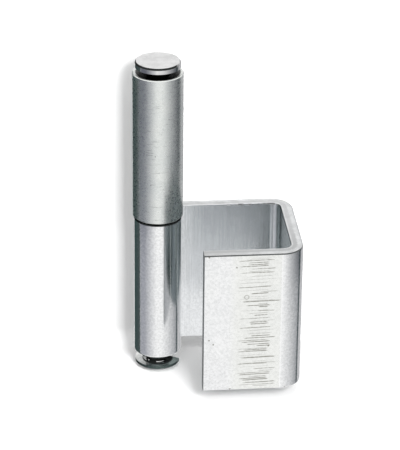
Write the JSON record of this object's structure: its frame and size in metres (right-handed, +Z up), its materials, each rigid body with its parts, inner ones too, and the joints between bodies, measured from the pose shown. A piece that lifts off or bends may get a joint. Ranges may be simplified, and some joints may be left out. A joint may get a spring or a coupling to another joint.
{
  "type": "concealed hinge",
  "caption": "Weld-on concealed hinge: a folded sheet bracket with a rolled eye turns below a plain sleeve on a headed pin held by a retaining clip.",
  "frame": {"origin": "on the hinge axis, at the lower end of the weld-on sleeve, where it turns above the bracket's eye", "axes": "+Z up the hinge axis towards the pin's head, +X along the bracket's rear wall away from the axis, -Y out of the front flange"},
  "size_m": [0.0413, 0.0322, 0.0851],
  "materials": {
    "zinc_plated_sheet": "bright zinc plate on sheet steel, scuffed on the front flange",
    "plain_steel": "bare drawn steel, satin",
    "bright_pin": "bright zinc plate on turned steel",
    "clip_steel": "plated spring steel, stamped"
  },
  "bodies": {
    "bracket": {"bracket": "zinc_plated_sheet"},
    "sleeve": {"sleeve": "plain_steel"},
    "pin": {"pin": "bright_pin", "retaining_clip": "clip_steel"}
  },
  "joints": [
    {"name": "sleeve_turn", "type": "hinge", "parent": "bracket", "child": "sleeve", "pos_m": [0, 0, 0], "axis": [0, 0, 1], "continuous": true},
    {"name": "pin_play", "type": "slide", "parent": "sleeve", "child": "pin", "axis": [0, 0, 1], "range_m": [-0.00125, 0.00255]}
  ]
}
